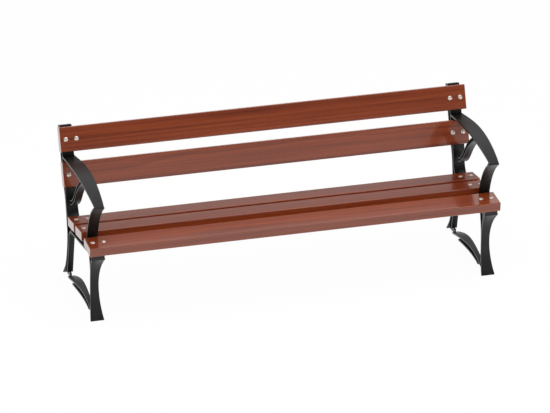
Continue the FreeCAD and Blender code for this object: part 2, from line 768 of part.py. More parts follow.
def make_washers(slat_name):
    """Four flat washers, against the lugs behind a slat."""
    washers = new_body(slat_name + "_washers")
    sketch = new_sketch(washers, slat_name + "_washer_outline", "XY_Plane", [],
                        Placement(Vector(0, 0, -THICK - FLANGE), Rotation()))
    sketch.setExpression(".AttachmentOffset.Base.z", "-(Sizes.slat_thickness + Sizes.flange_thickness)")
    circle_at_bolt(sketch, size("washer_diameter") / 2, "Sizes.washer_diameter / 2")
    circle_at_bolt(sketch, hole_radius, HOLE_RADIUS)
    washer = feature_of(washers, "Pad", slat_name + "_washer", sketch, True,
                        Length="Sizes.washer_thickness")
    repeat_at_bolts(washers, [washer])
    place_on_slat(washers, slat_name)
    return washers


def make_nuts(slat_name):
    """Four hexagon nuts, with a corner across the slat so that a flat faces the web."""
    nuts = new_body(slat_name + "_nuts")
    corner_reach = size("nut_across_flats") / math.sqrt(3)
    corners = [Vector(inner_bolt + corner_reach * math.cos(math.radians(90 + 60 * side)),
                      corner_reach * math.sin(math.radians(90 + 60 * side)), 0) for side in range(6)]
    sketch = new_sketch(nuts, slat_name + "_nut_outline", "XY_Plane",
                        [line(corners[side], corners[(side + 1) % 6]) for side in range(6)],
                        Placement(Vector(0, 0, -THICK - FLANGE - size("washer_thickness")), Rotation()))
    sketch.setExpression(".AttachmentOffset.Base.z",
                         "-(Sizes.slat_thickness + Sizes.flange_thickness + Sizes.washer_thickness)")
    circle_at_bolt(sketch, (size("shank_diameter") + size("thread_clearance")) / 2,
                   "(Sizes.shank_diameter + Sizes.thread_clearance) / 2")
    nut = feature_of(nuts, "Pad", slat_name + "_nut", sketch, True, Length="Sizes.nut_height")
    repeat_at_bolts(nuts, [nut])
    place_on_slat(nuts, slat_name)
    return nuts


for slat_name in SLATS:
    nodes += [make_slat(slat_name), make_bolts(slat_name), make_washers(slat_name), make_nuts(slat_name)]
doc.recompute()

# ------------------------------------------------------------------ checks and export
for item in doc.Objects:
    if "Invalid" in item.State or "Error" in item.State:
        raise RuntimeError(f"{item.Label} did not build: {item.State}")
for node in nodes:
    if node.Shape.isNull() or not node.Shape.isValid():
        raise RuntimeError(f"{node.Label} has no valid shape")

os.makedirs("parts", exist_ok=True)
for node in nodes:
    node.Shape.exportStep(f"parts/{node.Label}.step")
    print(node.Label, len(node.Shape.Solids), "solids,", round(node.Shape.Volume / 1000, 1), "cm3")
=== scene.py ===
"""Looks of a garden bench: coated castings, lacquered hardwood slats and zinc-plated bolts."""

import logging
import math
from dataclasses import dataclass, field
from enum import Enum
from typing import Any, Sequence

import bmesh
import bpy
from mathutils import Matrix, Vector


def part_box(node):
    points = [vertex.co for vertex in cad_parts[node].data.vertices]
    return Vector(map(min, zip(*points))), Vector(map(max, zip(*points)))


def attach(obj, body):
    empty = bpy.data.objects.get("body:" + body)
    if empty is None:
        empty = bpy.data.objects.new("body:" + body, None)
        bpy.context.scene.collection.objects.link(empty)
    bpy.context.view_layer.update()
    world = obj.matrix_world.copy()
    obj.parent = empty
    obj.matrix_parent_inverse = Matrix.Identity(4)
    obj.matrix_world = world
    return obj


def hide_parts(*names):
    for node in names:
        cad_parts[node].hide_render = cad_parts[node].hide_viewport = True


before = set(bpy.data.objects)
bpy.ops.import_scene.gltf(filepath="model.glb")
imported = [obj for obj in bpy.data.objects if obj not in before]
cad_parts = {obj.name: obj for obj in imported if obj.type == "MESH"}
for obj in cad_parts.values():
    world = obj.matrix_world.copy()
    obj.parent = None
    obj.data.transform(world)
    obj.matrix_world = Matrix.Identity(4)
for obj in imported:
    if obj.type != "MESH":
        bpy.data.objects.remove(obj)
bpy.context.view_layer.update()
LOG = logging.getLogger("bench")
Colour = tuple[float, float, float]

SLOT_METAL = "cast_frame"
SLOT_WOOD = "slat_wood"
SLOT_ZINC = "fastener_steel"


# ---------------------------------------------------------------- shader maths
class Value:
    """A shader socket that takes part in arithmetic: each operator adds a Math node."""

    def __init__(self, graph: "Graph", socket: bpy.types.NodeSocket) -> None:
        """Keeps the graph and the socket."""
        self.graph = graph
        self.socket = socket

    def _math(self, operation: str, first: Any, second: Any) -> "Value":
        """Adds one Math node.

        Args:
            operation: the Math node's operation.
            first: a Value or a number.
            second: a Value or a number.

        Returns:
            The node's result.
        """
        return self.graph.add("ShaderNodeMath", {"operation": operation}, {0: first, 1: second})

    def __add__(self, other: Any) -> "Value":
        """Sum."""
        return self._math("ADD", self, other)

    def __radd__(self, other: Any) -> "Value":
        """Sum with a number on the left."""
        return self._math("ADD", other, self)

    def __sub__(self, other: Any) -> "Value":
        """Difference."""
        return self._math("SUBTRACT", self, other)

    def __rsub__(self, other: Any) -> "Value":
        """Difference with a number on the left."""
        return self._math("SUBTRACT", other, self)

    def __mul__(self, other: Any) -> "Value":
        """Product."""
        return self._math("MULTIPLY", self, other)

    def __rmul__(self, other: Any) -> "Value":
        """Product with a number on the left."""
        return self._math("MULTIPLY", other, self)

    def __pow__(self, other: Any) -> "Value":
        """Power."""
        return self._math("POWER", self, other)


class Graph:
    """A node tree of a material or a world, built through one method."""

    def __init__(self, tree: bpy.types.NodeTree) -> None:
        """Empties the tree.

        Args:
            tree: the node tree to build in.
        """
        self.tree = tree
        tree.nodes.clear()

    def add(self, kind: str, settings: dict[str, Any] | None = None,
            inputs: dict[Any, Any] | None = None, output: Any = 0) -> Value:
        """Adds one node.

        Args:
            kind: the node's type.
            settings: attributes set before the inputs; "stops" fills a colour ramp.
            inputs: values or links by socket name or index.
            output: name or index of the socket to hand back.

        Returns:
            The chosen output, or a Value without a socket for a node that has none.
        """
        node = self.tree.nodes.new(kind)
        for name, setting in (settings or {}).items():
            if name == "stops":
                self._fill_ramp(node.color_ramp, setting)
            else:
                setattr(node, name, setting)
        for name, given in (inputs or {}).items():
            if isinstance(given, Value):
                self.tree.links.new(given.socket, node.inputs[name])
            else:
                node.inputs[name].default_value = given
        return Value(self, node.outputs[output] if len(node.outputs) else None)

    @staticmethod
    def _fill_ramp(ramp: bpy.types.ColorRamp, stops: Sequence[tuple[float, Colour]]) -> None:
        """Sets a ramp's stops.

        Args:
            ramp: the ramp.
            stops: pairs of place and colour.
        """
        while len(ramp.elements) < len(stops):
            ramp.elements.new(1.0)
        for element, (place, colour) in zip(ramp.elements, stops):
            element.position = place
            element.color = (*colour, 1.0)

    def noise(self, vector: Value, scale: float, detail: float = 3.0, roughness: float = 0.5) -> Value:
        """A noise texture's value from 0 to 1.

        Args:
            vector: the coordinates.
            scale: features in a metre.
            detail: octaves.
            roughness: strength of the finer octaves.

        Returns:
            The noise.
        """
        return self.add("ShaderNodeTexNoise", inputs={
            "Vector": vector, "Scale": scale, "Detail": detail, "Roughness": roughness})

    def ramp(self, factor: Value, stops: Sequence[tuple[float, Colour]]) -> Value:
        """A colour ramp."""
        return self.add("ShaderNodeValToRGB", {"stops": stops}, {"Fac": factor})

    def span(self, value: Value, low: float, high: float, to_low: float = 0.0, to_high: float = 1.0) -> Value:
        """Maps a range onto another one, smoothly and clamped.

        Args:
            value: what to map.
            low: start of the range.
            high: end of the range.
            to_low: result at its start.
            to_high: result at its end.

        Returns:
            The mapped value.
        """
        return self.add("ShaderNodeMapRange", {"interpolation_type": "SMOOTHSTEP"}, {
            "Value": value, "From Min": low, "From Max": high, "To Min": to_low, "To Max": to_high})

    def blend(self, factor: Any, first: Any, second: Any, mode: str = "MIX") -> Value:
        """Mixes two colours.

        Args:
            factor: share of the second one.
            first: a Value or a colour.
            second: a Value or a colour.
            mode: the Mix node's blend type.

        Returns:
            The mixed colour.
        """
        socket = {"Factor": 0, "A": 6, "B": 7}
        colours = {socket[name]: given if isinstance(given, Value) else (*given, 1.0)
                   for name, given in (("A", first), ("B", second))}
        return self.add("ShaderNodeMix", {"data_type": "RGBA", "blend_type": mode},
                        {socket["Factor"]: factor, **colours}, output=2)

    def stretched(self, vector: Value, scale: Sequence[float], shift: Sequence[float] = (0, 0, 0)) -> Value:
        """Coordinates multiplied by a scale and moved by a shift."""
        return self.add("ShaderNodeVectorMath", {"operation": "MULTIPLY_ADD"}, {
            0: vector, 1: tuple(scale), 2: tuple(shift)})

    def bump(self, height: Value, strength: float, distance: float) -> Value:
        """A normal from a height.

        Args:
            height: the height, from 0 to 1.
            strength: how much of it counts.
            distance: metres from lowest to highest.

        Returns:
            The normal.
        """
        return self.add("ShaderNodeBump", inputs={
            "Height": height, "Strength": strength, "Distance": distance})


# ---------------------------------------------------------------- finishes
@dataclass(frozen=True)
class Finish:
    """What all finishes share: a name and a material built on demand."""

    name: str

    def material(self) -> bpy.types.Material:
        """Builds the material.

        Returns:
            A new material with this finish.
        """
        material = bpy.data.materials.new(self.name)
        material.use_nodes = True
        graph = Graph(material.node_tree)
        place = graph.add("ShaderNodeTexCoord", output="Object")
        shader = self.shader(graph, place)
        graph.add("ShaderNodeOutputMaterial", inputs={"Surface": shader})
        return material

    def shader(self, graph: Graph, place: Value) -> Value:
        """Adds the surface shader.

        Args:
            graph: the material's graph.
            place: Object coordinates.

        Returns:
            The shader's output.
        """
        raise NotImplementedError


@dataclass(frozen=True)
class CoatedCasting(Finish):
    """A satin black coat over iron cast in sand, grainy when seen close."""

    colour: Colour = (0.0045, 0.0045, 0.0045)
    dust: Colour = (0.011, 0.011, 0.0105)
    roughness: float = 0.38
    mottle_per_metre: float = 14.0
    mottle_gloss: float = 0.16
    swell_per_metre: float = 38.0
    swell_share: float = 0.9
    grain_per_metre: float = 420.0
    grain_gloss: float = 0.12
    grain_share: float = 0.6
    grain_depth: float = 0.00022

    def shader(self, graph: Graph, place: Value) -> Value:
        """Coat colour with faint mottling, uneven gloss and the sand's grain.

        Args:
            graph: the material's graph.
            place: Object coordinates.

        Returns:
            The shader's output.
        """
        mottle = graph.noise(place, self.mottle_per_metre, detail=5.0, roughness=0.6)
        grain = graph.noise(place, self.grain_per_metre, detail=4.0, roughness=0.65)
        swell = graph.noise(place, self.swell_per_metre, detail=2.0)
        colour = graph.blend(graph.span(mottle, 0.35, 0.75), self.colour, self.dust)
        rough = self.roughness + (mottle - 0.5) * self.mottle_gloss + (grain - 0.5) * self.grain_gloss
        height = grain * self.grain_share + swell * self.swell_share
        return graph.add("ShaderNodeBsdfPrincipled", inputs={
            "Base Color": colour, "Roughness": rough, "Specular IOR Level": 0.27,
            "Normal": graph.bump(height, 0.55, self.grain_depth)})


@dataclass(frozen=True)
class LacqueredWood(Finish):
    """Reddish hardwood, its figure laid along the slat, under a glossy lacquer.

    The grain runs along the slat's length, so the coordinates are turned into the slat's own:
    X along, Y across, Z through its thickness.
    """

    centre: tuple[float, float, float] = (0.0, 0.0, 0.0)
    tilt: float = 0.0
    seed: float = 0.0
    dark: Colour = (0.085, 0.0120, 0.0028)
    middle: Colour = (0.195, 0.0300, 0.0048)
    light: Colour = (0.265, 0.0500, 0.0100)
    pore_colour: Colour = (0.035, 0.0080, 0.0030)
    pith_offset: float = 0.16
    pith_wander: float = 0.055
    rings_per_metre: float = 150.0
    streak_scale: tuple[float, float, float] = (1.6, 95.0, 95.0)
    fibre_scale: tuple[float, float, float] = (11.0, 620.0, 620.0)
    cloud_scale: tuple[float, float, float] = (1.3, 7.0, 7.0)
    sway_scale: tuple[float, float, float] = (0.9, 5.0, 5.0)
    pore_scale: tuple[float, float, float] = (26.0, 1500.0, 1500.0)
    pore_strength: float = 0.55
    roughness: float = 0.30
    grain_depth: float = 0.00012

    def shader(self, graph: Graph, place: Value) -> Value:
        """Growth rings, long streaks, pores and the lacquer over them.

        Args:
            graph: the material's graph.
            place: Object coordinates.

        Returns:
            The shader's output.
        """
        own = graph.add("ShaderNodeMapping", {"vector_type": "TEXTURE"}, {
            "Vector": place, "Location": self.centre, "Rotation": (self.tilt, 0.0, 0.0)})
        shifted = graph.stretched(own, (1.0, 1.0, 1.0), (self.seed * 3.1, self.seed * 0.37, self.seed * 0.53))
        sway = graph.noise(graph.stretched(shifted, self.sway_scale), 1.0, detail=2.0)
        rings = self._rings(graph, own, sway)
        streak = graph.noise(graph.stretched(shifted, self.streak_scale), 1.0, detail=6.0, roughness=0.62)
        fibre = graph.noise(graph.stretched(shifted, self.fibre_scale), 1.0, detail=3.0, roughness=0.6)
        cloud = graph.noise(graph.stretched(shifted, self.cloud_scale), 1.0, detail=3.0)
        figure = rings * 0.16 + streak * 0.62 + fibre * 0.26 + cloud * 0.22 - 0.13
        tone = graph.ramp(figure, ((0.24, self.dark), (0.50, self.middle), (0.76, self.light)))
        speckle = graph.noise(graph.stretched(shifted, self.pore_scale), 1.0, detail=2.0)
        pores = graph.span(speckle, 0.60, 0.72)
        colour = graph.blend(pores * self.pore_strength, tone, self.pore_colour)
        rough = self.roughness + (streak - 0.5) * 0.10 + pores * 0.12
        height = figure * 0.5 + fibre * 0.5 - pores * 0.4
        return graph.add("ShaderNodeBsdfPrincipled", inputs={
            "Base Color": colour, "Roughness": rough, "Specular IOR Level": 0.30,
            "Coat Weight": 0.85, "Coat Roughness": 0.11, "Coat IOR": 1.48,
            "Normal": graph.bump(height, 0.35, self.grain_depth)})

    def _rings(self, graph: Graph, own: Value, sway: Value) -> Value:
        """Growth rings about a pith that lies beyond the slat's inner face.

        Args:
            graph: the material's graph.
            own: the slat's own coordinates.
            sway: slow noise that bends the rings along the slat.

        Returns:
            0 in the early wood of a ring, 1 in its late wood.
        """
        across = graph.add("ShaderNodeSeparateXYZ", inputs={"Vector": own}, output="Y")
        through = graph.add("ShaderNodeSeparateXYZ", inputs={"Vector": own}, output="Z")
        side = across + (math.sin(self.seed * 2.3) * 0.05 + (sway - 0.5) * self.pith_wander)
        down = through + self.pith_offset
        reach = (side * side + down * down) ** 0.5
        turn = graph.add("ShaderNodeMath", {"operation": "FRACT"}, {
            0: reach * self.rings_per_metre + sway * 2.4})
        return graph.span(turn, 0.05, 0.92)


@dataclass(frozen=True)
class ZincPlate(Finish):
    """Bright zinc plate on turned and formed steel."""

    colour: Colour = (0.72, 0.61, 0.53)
    dull: Colour = (0.56, 0.48, 0.42)
    bloom_per_metre: float = 130.0
    roughness: float = 0.32
    scratch_scale: tuple[float, float, float] = (900.0, 2400.0, 2400.0)
    scratch_depth: float = 0.00004

    def shader(self, graph: Graph, place: Value) -> Value:
        """Metal with a faint bloom and fine scratches.

        Args:
            graph: the material's graph.
            place: Object coordinates.

        Returns:
            The shader's output.
        """
        bloom = graph.noise(place, self.bloom_per_metre, detail=4.0)
        scratch = graph.noise(graph.stretched(place, self.scratch_scale), 1.0, detail=2.0)
        colour = graph.blend(graph.span(bloom, 0.42, 0.72), self.colour, self.dull)
        return graph.add("ShaderNodeBsdfPrincipled", inputs={
            "Base Color": colour, "Metallic": 0.75, "Roughness": self.roughness + bloom * 0.16,
            "Normal": graph.bump(scratch, 0.25, self.scratch_depth)})


# ---------------------------------------------------------------- mesh helpers
def shown(name: str, mesh: bpy.types.Mesh, material: bpy.types.Material) -> bpy.types.Object:
    """Makes an object at the origin that shows a mesh in one material.

    Args:
        name: the piece's name.
        mesh: its mesh, in place.
        material: its finish.

    Returns:
        The new object.
    """
    piece = bpy.data.objects.new(name, mesh)
    mesh.name = name
    mesh.materials.clear()
    mesh.materials.append(material)
    bpy.context.scene.collection.objects.link(piece)
    return piece


def settle(piece: bpy.types.Object, slot: str, *nodes: str) -> None:
    """Ties a finished piece to the frame.

    Args:
        piece: the piece.
        slot: the record's material slot; not used.
        nodes: the CAD nodes that it stands for.
    """
    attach(piece, "root")
    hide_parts(*nodes)
    LOG.info("%s: %d faces", piece.name, len(piece.data.polygons))


def outward(mesh: bpy.types.Mesh, weld: float = 1e-6) -> None:
    """Merges a mesh's doubles and points its faces outwards.

    Args:
        mesh: the mesh to clean.
        weld: distance in metres below which vertices are one.
    """
    work = bmesh.new()
    work.from_mesh(mesh)
    bmesh.ops.remove_doubles(work, verts=work.verts, dist=weld)
    bmesh.ops.recalc_face_normals(work, faces=work.faces)
    work.to_mesh(mesh)
    work.free()


def baked(piece: bpy.types.Object) -> bpy.types.Mesh:
    """The mesh that an object's modifiers make.

    Args:
        piece: an object with modifiers.

    Returns:
        A new mesh.
    """
    depsgraph = bpy.context.evaluated_depsgraph_get()
    return bpy.data.meshes.new_from_object(piece.evaluated_get(depsgraph), depsgraph=depsgraph)


def smooth_by_angle(mesh: bpy.types.Mesh, degrees: float) -> None:
    """Shades a mesh smooth, apart from edges sharper than an angle.

    Args:
        mesh: the mesh.
        degrees: the angle between faces from which an edge stays sharp.
    """
    mesh.shade_smooth()
    mesh.set_sharp_from_angle(angle=math.radians(degrees))


# ---------------------------------------------------------------- sub-assemblies
class Side(Enum):
    """The bench's two ends, as seen from the front."""

    LEFT = "left_end_frame"
    RIGHT = "right_end_frame"


@dataclass
class EndFrame:
    """One casting: the CAD shape with its edges rounded as a mould leaves them."""

    side: Side
    finish: CoatedCasting
    edge_radius: float = 0.0016
    edge_segments: int = 3
    weld: float = 2e-6
    flat_angle: float = 0.6
    edge_angle: float = 32.0

    def build(self) -> bpy.types.Object:
        """Copies the casting, merges its triangles, rounds its edges and dresses it.

        Returns:
            The finished piece.
        """
        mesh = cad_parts[self.side.value].data.copy()
        work = bmesh.new()
        work.from_mesh(mesh)
        bmesh.ops.remove_doubles(work, verts=work.verts, dist=self.weld)
        bmesh.ops.dissolve_limit(work, angle_limit=math.radians(self.flat_angle),
                                 verts=work.verts, edges=work.edges)
        work.to_mesh(mesh)
        work.free()
        mesh.shade_smooth()
        rough = bpy.data.objects.new("casting", mesh)
        bpy.context.scene.collection.objects.link(rough)
        bevel = rough.modifiers.new("mould_radius", "BEVEL")
        bevel.width = self.edge_radius
        bevel.segments = self.edge_segments
        bevel.limit_method = "ANGLE"
        bevel.angle_limit = math.radians(self.edge_angle)
        bevel.use_clamp_overlap = True
        bevel.miter_outer = "MITER_ARC"
        flats = rough.modifiers.new("flat_faces", "WEIGHTED_NORMAL")
        flats.mode = "FACE_AREA"
        flats.keep_sharp = True
        rounded = baked(rough)
        bpy.data.objects.remove(rough)
        piece = shown(self.side.value + "_casting", rounded, self.finish.material())
        settle(piece, SLOT_METAL, self.side.value)
        return piece


@dataclass
class Slat:
    """One plank: a bar with eased long edges and softened ends.

    A narrow margin of mesh beside each rounding keeps the shading of the faces flat.
    """

    node: str
    tilt: float
    seed: float
    width: float = 0.119
    thickness: float = 0.044
    edge_radius: float = 0.0048
    end_radius: float = 0.0022
    edge_segments: int = 5
    end_segments: int = 3
    margin: float = 0.0012
    stations: int = 40
    smooth_angle: float = 40.0

    def placement(self) -> Matrix:
        """Where the slat's own frame lies: X along it, Y across, Z out of its outer face."""
        low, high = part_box(self.node)
        return Matrix.Translation((low + high) / 2) @ Matrix.Rotation(math.radians(self.tilt), 4, "X")

    def section(self, inset: float) -> list[tuple[float, float]]:
        """The outline across the slat.

        Args:
            inset: how far the outline is drawn in from the full size.

        Returns:
            Points (across, through): each corner's arc between its two margins.
        """
        points = []
        radius = self.edge_radius - inset * 0.5
        for quarter, (side, face) in enumerate(((1, 1), (-1, 1), (-1, -1), (1, -1))):
            across = side * (self.width / 2 - inset - radius)
            through = face * (self.thickness / 2 - inset - radius)
            arc = [math.radians(90 * (quarter + step / self.edge_segments))
                   for step in range(self.edge_segments + 1)]
            rounded = [(across + radius * math.cos(turn), through + radius * math.sin(turn)) for turn in arc]
            before, after = arc[0] - math.pi / 2, arc[-1] + math.pi / 2
            points.append((rounded[0][0] + self.margin * math.cos(before),
                           rounded[0][1] + self.margin * math.sin(before)))
            points += rounded
            points.append((rounded[-1][0] + self.margin * math.cos(after),
                           rounded[-1][1] + self.margin * math.sin(after)))
        return points

    def mesh(self, length: float) -> bpy.types.Mesh:
        """Lofts the section along the slat and closes its rounded ends.

        Args:
            length: the slat's length.

        Returns:
            The plank's mesh in its own frame.
        """
        half = length / 2
        turns = [math.pi / 2 * step / self.end_segments for step in range(self.end_segments, -1, -1)]
        ends = [(half, self.end_radius + self.margin)]
        ends += [(half - self.end_radius * (1 - math.sin(turn)), self.end_radius * (1 - math.cos(turn)))
                 for turn in turns]
        straight = half - self.end_radius - self.margin
        inner = [(-straight + 2 * straight * step / self.stations, 0.0) for step in range(self.stations + 1)]
        rows = [(-place, inset) for place, inset in ends] + inner + ends[::-1]
        work = bmesh.new()
        rings = [[work.verts.new((place, across, through)) for across, through in self.section(inset)]
                 for place, inset in rows]
        for ring, following in zip(rings, rings[1:]):
            for index in range(len(ring)):
                after = (index + 1) % len(ring)
                work.faces.new((ring[index], ring[after], following[after], following[index]))
        work.faces.new(rings[0])
        work.faces.new(rings[-1])
        bmesh.ops.recalc_face_normals(work, faces=work.faces)
        mesh = bpy.data.meshes.new(self.node)
        work.to_mesh(mesh)
        work.free()
        return mesh

    def build(self) -> bpy.types.Object:
        """Makes the plank in place and dresses it.

        Returns:
            The finished piece.
        """
        low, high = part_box(self.node)
        mesh = self.mesh(high.x - low.x)
        mesh.transform(self.placement())
        smooth_by_angle(mesh, self.smooth_angle)
        finish = LacqueredWood(self.node + "_lacquer", centre=tuple((low + high) / 2),
                               tilt=math.radians(self.tilt), seed=self.seed)
        piece = shown(self.node + "_plank", mesh, finish.material())
        settle(piece, SLOT_WOOD, self.node)
        return piece


class Tree:
    """A geometry node tree with named inputs, built in code."""

    def __init__(self, name: str) -> None:
        """Starts an empty tree with its output.

        Args:
            name: the tree's name.
        """
        self.tree = bpy.data.node_groups.new(name, "GeometryNodeTree")
        self.tree.interface.new_socket("Geometry", in_out="OUTPUT", socket_type="NodeSocketGeometry")
        self.entry = self.tree.nodes.new("NodeGroupInput")
        self.exit = self.tree.nodes.new("NodeGroupOutput")

    def size(self, name: str, value: float) -> bpy.types.NodeSocket:
        """Adds a named length to the tree's inputs.

        Args:
            name: the input's name.
            value: its default.

        Returns:
            The socket that carries it inside the tree.
        """
        socket = self.tree.interface.new_socket(name, in_out="INPUT", socket_type="NodeSocketFloat")
        socket.default_value = value
        return self.entry.outputs[name]

    def finish(self, name: str) -> bpy.types.NodeSocket:
        """Adds a named material to the tree's inputs."""
        self.tree.interface.new_socket(name, in_out="INPUT", socket_type="NodeSocketMaterial")
        return self.entry.outputs[name]

    def add(self, kind: str, settings: dict[str, Any] | None = None,
            inputs: dict[Any, Any] | None = None, output: Any = 0) -> bpy.types.NodeSocket:
        """Adds one node.

        Args:
            kind: the node's type.
            settings: attributes set before the inputs.
            inputs: values, sockets or lists of sockets, by name or index.
            output: name or index of the socket to hand back.

        Returns:
            The chosen output.
        """
        node = self.tree.nodes.new(kind)
        for name, setting in (settings or {}).items():
            setattr(node, name, setting)
        for name, given in (inputs or {}).items():
            for one in given if isinstance(given, list) else [given]:
                if isinstance(one, bpy.types.NodeSocket):
                    self.tree.links.new(one, node.inputs[name])
                else:
                    node.inputs[name].default_value = one
        return node.outputs[output]

    def math(self, operation: str, first: Any, second: Any = 0.0) -> bpy.types.NodeSocket:
        """Adds one Math node."""
        return self.add("ShaderNodeMath", {"operation": operation}, {0: first, 1: second})

    def vector(self, x: Any = 0.0, y: Any = 0.0, z: Any = 0.0) -> bpy.types.NodeSocket:
        """Combines three numbers or sockets."""
        return self.add("ShaderNodeCombineXYZ", inputs={"X": x, "Y": y, "Z": z})

    def moved(self, geometry: bpy.types.NodeSocket, offset: bpy.types.NodeSocket) -> bpy.types.NodeSocket:
        """Moves geometry."""
        return self.add("GeometryNodeTransform", inputs={"Geometry": geometry, "Translation": offset})

    def close(self, geometry: bpy.types.NodeSocket, material: bpy.types.NodeSocket) -> None:
        """Realizes instances, sets the material and links the output.

        Args:
            geometry: what the tree makes.
            material: the material socket.
        """
        real = self.add("GeometryNodeRealizeInstances", inputs={"Geometry": geometry})
        dressed = self.add("GeometryNodeSetMaterial", inputs={"Geometry": real, "Material": material})
        self.tree.links.new(dressed, self.exit.inputs["Geometry"])


@dataclass
class FastenerRow:
    """The four bolts of a slat with their washers and nuts, made by one node tree.

    Lengths are in metres in the slat's own frame: its outer face is at Z = 0 and the bolts
    run down from it.
    """

    slat: Slat
    finish: ZincPlate
    pair_spacing: float = 0.051
    head_diameter: float = 0.0225
    head_height: float = 0.0056
    rim_height: float = 0.0009
    shank_diameter: float = 0.0098
    washer_diameter: float = 0.019
    washer_thickness: float = 0.002
    nut_across_flats: float = 0.016
    nut_height: float = 0.008
    lug_thickness: float = 0.008
    tip_length: float = 0.004
    lift: float = 0.00015
    head_rings: int = 12
    head_sides: int = 40
    top_share: float = 0.004
    shank_sides: int = 20
    washer_sides: int = 32
    collar_sides: int = 28
    flats_share: float = 0.84
    collar_share: float = 0.86
    smooth_angle: float = 35.0
    sizes: dict[str, float] = field(default_factory=dict)

    def build(self) -> bpy.types.Object:
        """Runs the tree for this slat and turns the result into a plain mesh.

        Returns:
            The finished piece.
        """
        low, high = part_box(self.slat.node + "_bolts")
        outer_place = high.x - self.head_diameter / 2
        under = self.slat.thickness + self.lug_thickness
        self.sizes = {
            "Outer Bolt": outer_place,
            "Pair Spacing": self.pair_spacing,
            "Head Radius": self.head_diameter / 2,
            "Head Height": self.head_height,
            "Rim Height": self.rim_height,
            "Shank Radius": self.shank_diameter / 2,
            "Shank Length": under + self.washer_thickness + self.nut_height + self.tip_length,
            "Lug Face": under,
            "Washer Radius": self.washer_diameter / 2,
            "Washer Thickness": self.washer_thickness,
            "Nut Radius": self.nut_across_flats / math.sqrt(3),
            "Nut Height": self.nut_height,
        }
        tree = self.tree()
        carrier = bpy.data.objects.new("fastener_row", bpy.data.meshes.new("fastener_row"))
        bpy.context.scene.collection.objects.link(carrier)
        modifier = carrier.modifiers.new("fasteners", "NODES")
        modifier.node_group = tree
        material = self.finish.material()
        for item in tree.interface.items_tree:
            if item.in_out == "INPUT":
                modifier[item.identifier] = self.sizes.get(item.name, material)
        mesh = baked(carrier)
        carrier.modifiers.clear()
        bpy.data.objects.remove(carrier)
        outward(mesh)
        outer_face = Matrix.Translation((0, 0, self.slat.thickness / 2 + self.lift))
        mesh.transform(self.slat.placement() @ outer_face)
        smooth_by_angle(mesh, self.smooth_angle)
        piece = shown(self.slat.node + "_fasteners", mesh, material)
        settle(piece, SLOT_ZINC, *(f"{self.slat.node}_{kind}" for kind in ("bolts", "washers", "nuts")))
        return piece

    def tree(self) -> bpy.types.NodeTree:
        """Builds the node tree: one fastener, set at both bolts of both ends.

        Returns:
            The tree.
        """
        made = Tree("fastener_row")
        inputs = {name: made.size(name, value) for name, value in self.sizes.items()}
        material = made.finish("Finish")
        one = made.add("GeometryNodeJoinGeometry", inputs={"Geometry": [
            self.dome(made, inputs), self.shank(made, inputs), self.washer(made, inputs),
            self.nut(made, inputs)]})
        inner = made.math("SUBTRACT", inputs["Outer Bolt"], inputs["Pair Spacing"])
        spots = [made.vector(x=inner), made.vector(x=inputs["Outer Bolt"])]
        spots += [made.vector(x=made.math("MULTIPLY", x, -1.0)) for x in (inner, inputs["Outer Bolt"])]
        points = [made.add("GeometryNodePoints", inputs={"Count": 1, "Position": spot}) for spot in spots]
        placed = made.add("GeometryNodeJoinGeometry", inputs={"Geometry": points})
        row = made.add("GeometryNodeInstanceOnPoints", inputs={"Points": placed, "Instance": one})
        made.close(row, material)
        return made.tree

    def dome(self, made: Tree, inputs: dict[str, bpy.types.NodeSocket]) -> bpy.types.NodeSocket:
        """The head: a tube along Z, straight at its rim, whose radius then follows an ellipse.

        Args:
            made: the tree.
            inputs: the tree's named lengths.

        Returns:
            The part's geometry.
        """
        crown = made.math("SUBTRACT", inputs["Head Height"], inputs["Rim Height"])
        stem = made.add("GeometryNodeCurvePrimitiveLine", inputs={"Start": (0, 0, 0), "End": (0, 0, 1)})
        rungs = made.add("GeometryNodeResampleCurve", inputs={"Curve": stem, "Count": self.head_rings})
        share = made.add("GeometryNodeSplineParameter", output="Factor")
        steps = self.head_rings - 1
        past_rim = made.math("MAXIMUM", made.math("SUBTRACT", share, 1 / steps), 0.0)
        quarter = made.math("MULTIPLY", past_rim, math.pi / 2 * steps / (steps - 1))
        height = made.math("MULTIPLY", made.math("SINE", quarter), crown)
        above_rim = made.math("MULTIPLY", made.math("GREATER_THAN", share, 0.5 / steps), inputs["Rim Height"])
        shaped = made.add("GeometryNodeSetPosition", inputs={
            "Geometry": rungs, "Position": made.vector(z=made.math("ADD", height, above_rim))})
        radius = made.math("MULTIPLY", inputs["Head Radius"], made.math(
            "MAXIMUM", made.math("COSINE", quarter), self.top_share))
        sized = made.add("GeometryNodeSetCurveRadius", inputs={"Curve": shaped, "Radius": radius})
        ring = made.add("GeometryNodeCurvePrimitiveCircle", {"mode": "RADIUS"},
                        {"Resolution": self.head_sides, "Radius": 1.0}, output="Curve")
        return made.add("GeometryNodeCurveToMesh", inputs={
            "Curve": sized, "Profile Curve": ring, "Scale": radius, "Fill Caps": True})

    def shank(self, made: Tree, inputs: dict[str, bpy.types.NodeSocket]) -> bpy.types.NodeSocket:
        """The shank, from the head down to the bolt's tip.

        Args:
            made: the tree.
            inputs: the tree's named lengths.

        Returns:
            The part's geometry.
        """
        length = inputs["Shank Length"]
        rod = made.add("GeometryNodeMeshCylinder", inputs={
            "Vertices": self.shank_sides, "Radius": inputs["Shank Radius"],
            "Depth": length}, output="Mesh")
        return made.moved(rod, made.vector(z=made.math("MULTIPLY", length, -0.5)))

